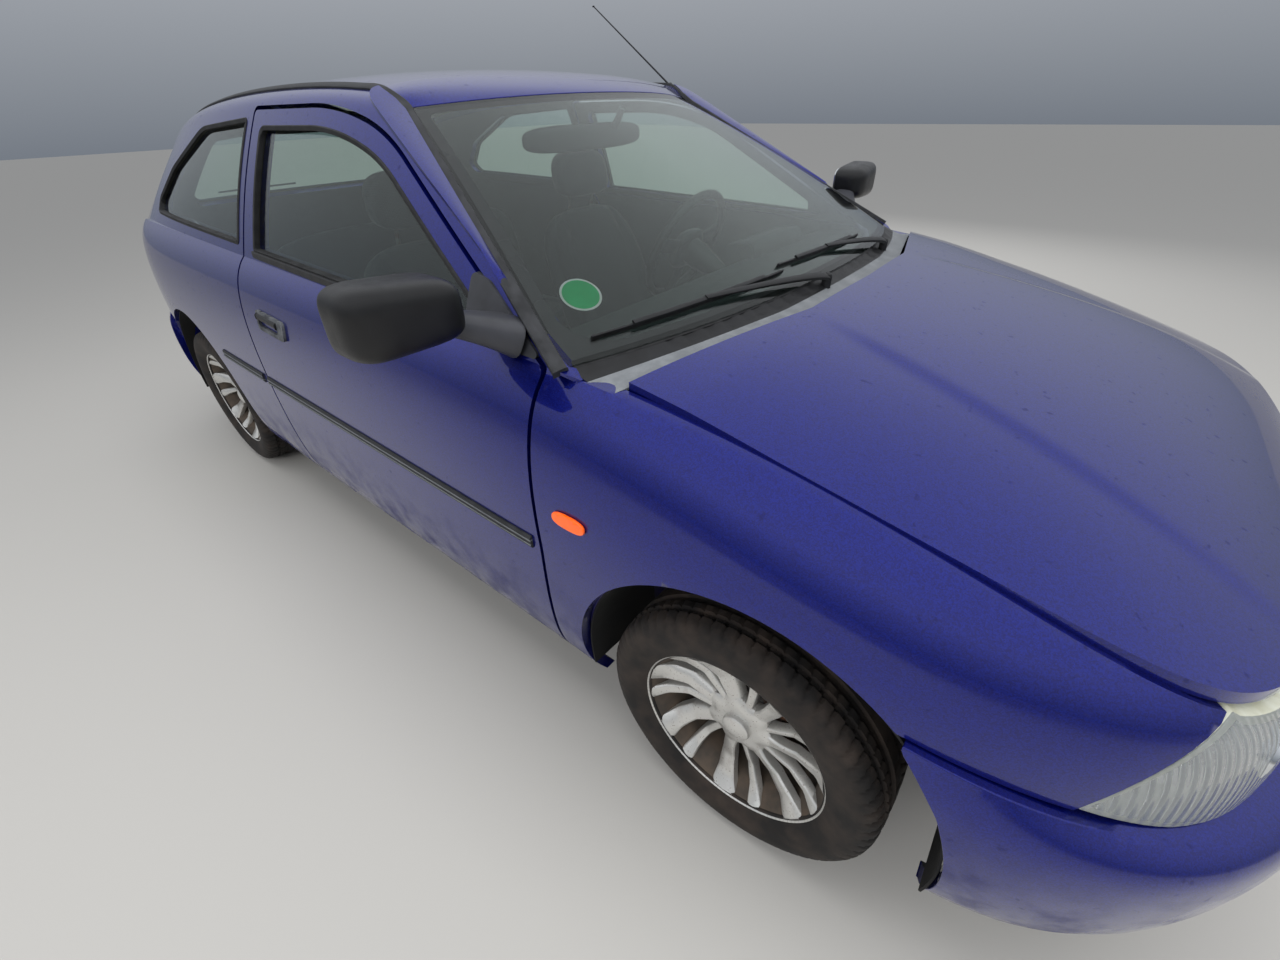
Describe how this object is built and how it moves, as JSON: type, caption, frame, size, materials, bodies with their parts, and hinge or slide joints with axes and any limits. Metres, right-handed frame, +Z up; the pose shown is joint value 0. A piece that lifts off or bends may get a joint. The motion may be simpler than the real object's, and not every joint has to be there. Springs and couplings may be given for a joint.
{
  "type": "three-door hatchback car",
  "caption": "Three-door family hatchback car with hollow cabin, opening doors, bonnet and tailgate, steered front wheels and free-rolling wheels.",
  "frame": {"origin": "on the ground, at the middle of the car's length and width", "axes": "+X forward along the car, +Y to the car's left, +Z up"},
  "size_m": [3.8753, 2.076, 1.5551],
  "materials": {
    "paint": "gloss",
    "underbody": "matte",
    "glass": "clear",
    "black_plastic": "satin",
    "grey_plastic": "matte",
    "headlamp_glass": "clear",
    "tail_lamp_red": "gloss",
    "amber_plastic": "gloss",
    "seat_fabric": "matte",
    "trim_plastic": "matte",
    "wheel_silver": "satin",
    "tyre_rubber": "matte",
    "forged_steel": "matte",
    "steel": "satin",
    "engine_metal": "matte"
  },
  "bodies": {
    "body": {"side_frame_left": "paint", "side_frame_right": "paint", "front_wing_left": "paint", "front_wing_right": "paint", "roof_panel": "paint", "nose_panel": "paint", "front_bumper": "paint", "rear_bumper": "paint", "quarter_glasses": "glass", "windscreen": "glass", "scuttle": "grey_plastic", "grille": "black_plastic", "headlamps": "headlamp_glass", "tail_lamps": "tail_lamp_red", "side_repeaters": "amber_plastic", "floor_pan": "underbody", "engine_bay": "underbody", "engine": "engine_metal", "dashboard": "trim_plastic", "front_seats": "seat_fabric", "rear_seat": "seat_fabric", "front_suspension": "forged_steel", "rear_axle": "forged_steel", "exhaust": "steel", "wipers": "black_plastic", "aerial": "black_plastic"},
    "door_left": {"door_left": "paint", "door_glass_left": "glass", "mirror_left": "black_plastic", "handle_left": "grey_plastic"},
    "door_right": {"door_right": "paint", "door_glass_right": "glass", "mirror_right": "black_plastic", "handle_right": "grey_plastic"},
    "bonnet": {"bonnet": "paint"},
    "tailgate": {"tailgate": "paint", "tailgate_glass": "glass", "rear_wiper": "black_plastic"},
    "steering_wheel": {"steering_wheel": "black_plastic"},
    "knuckle_left": {"knuckle_left": "forged_steel"},
    "knuckle_right": {"knuckle_right": "forged_steel"},
    "wheel_front_left": {"wheel_front_left": "wheel_silver", "tyre_front_left": "tyre_rubber"},
    "wheel_front_right": {"wheel_front_right": "wheel_silver", "tyre_front_right": "tyre_rubber"},
    "wheel_rear_left": {"wheel_rear_left": "wheel_silver", "tyre_rear_left": "tyre_rubber"},
    "wheel_rear_right": {"wheel_rear_right": "wheel_silver", "tyre_rear_right": "tyre_rubber"}
  },
  "joints": [
    {"name": "door_left_hinge", "type": "hinge", "parent": "body", "child": "door_left", "pos_m": [0.693, 0.834, 0.6], "axis": [0, 0, -1], "range_deg": [0, 65]},
    {"name": "door_right_hinge", "type": "hinge", "parent": "body", "child": "door_right", "pos_m": [0.693, -0.834, 0.6], "axis": [0, 0, 1], "range_deg": [0, 65]},
    {"name": "bonnet_hinge", "type": "hinge", "parent": "body", "child": "bonnet", "pos_m": [0.84, 0, 0.89], "axis": [0, -1, 0], "range_deg": [0, 50]},
    {"name": "tailgate_hinge", "type": "hinge", "parent": "body", "child": "tailgate", "pos_m": [-1.3, 0, 1.306], "axis": [0, 1, 0], "range_deg": [0, 80]},
    {"name": "steer_left", "type": "hinge", "parent": "body", "child": "knuckle_left", "pos_m": [1.135, 0.635, 0.284], "axis": [0, -0.1736, 0.9848], "range_deg": [-35, 35]},
    {"name": "steer_right", "type": "hinge", "parent": "body", "child": "knuckle_right", "pos_m": [1.135, -0.635, 0.284], "axis": [0, 0.1736, 0.9848], "range_deg": [-35, 35]},
    {"name": "steering_wheel_turn", "type": "hinge", "parent": "body", "child": "steering_wheel", "pos_m": [0.2, 0.365, 0.85], "axis": [-0.9063, 0, 0.4226], "range_deg": [-525, 525]},
    {"name": "roll_front_left", "type": "hinge", "parent": "knuckle_left", "child": "wheel_front_left", "pos_m": [1.135, 0.725, 0.284], "axis": [0, 1, 0], "continuous": true},
    {"name": "roll_front_right", "type": "hinge", "parent": "knuckle_right", "child": "wheel_front_right", "pos_m": [1.135, -0.725, 0.284], "axis": [0, 1, 0], "continuous": true},
    {"name": "roll_rear_left", "type": "hinge", "parent": "body", "child": "wheel_rear_left", "pos_m": [-1.28, 0.725, 0.284], "axis": [0, 1, 0], "continuous": true},
    {"name": "roll_rear_right", "type": "hinge", "parent": "body", "child": "wheel_rear_right", "pos_m": [-1.28, -0.725, 0.284], "axis": [0, 1, 0], "continuous": true}
  ],
  "couplings": [
    {"joint": "steer_right", "follows": "steer_left", "ratio": 1},
    {"joint": "steering_wheel_turn", "follows": "steer_left", "ratio": 15}
  ]
}
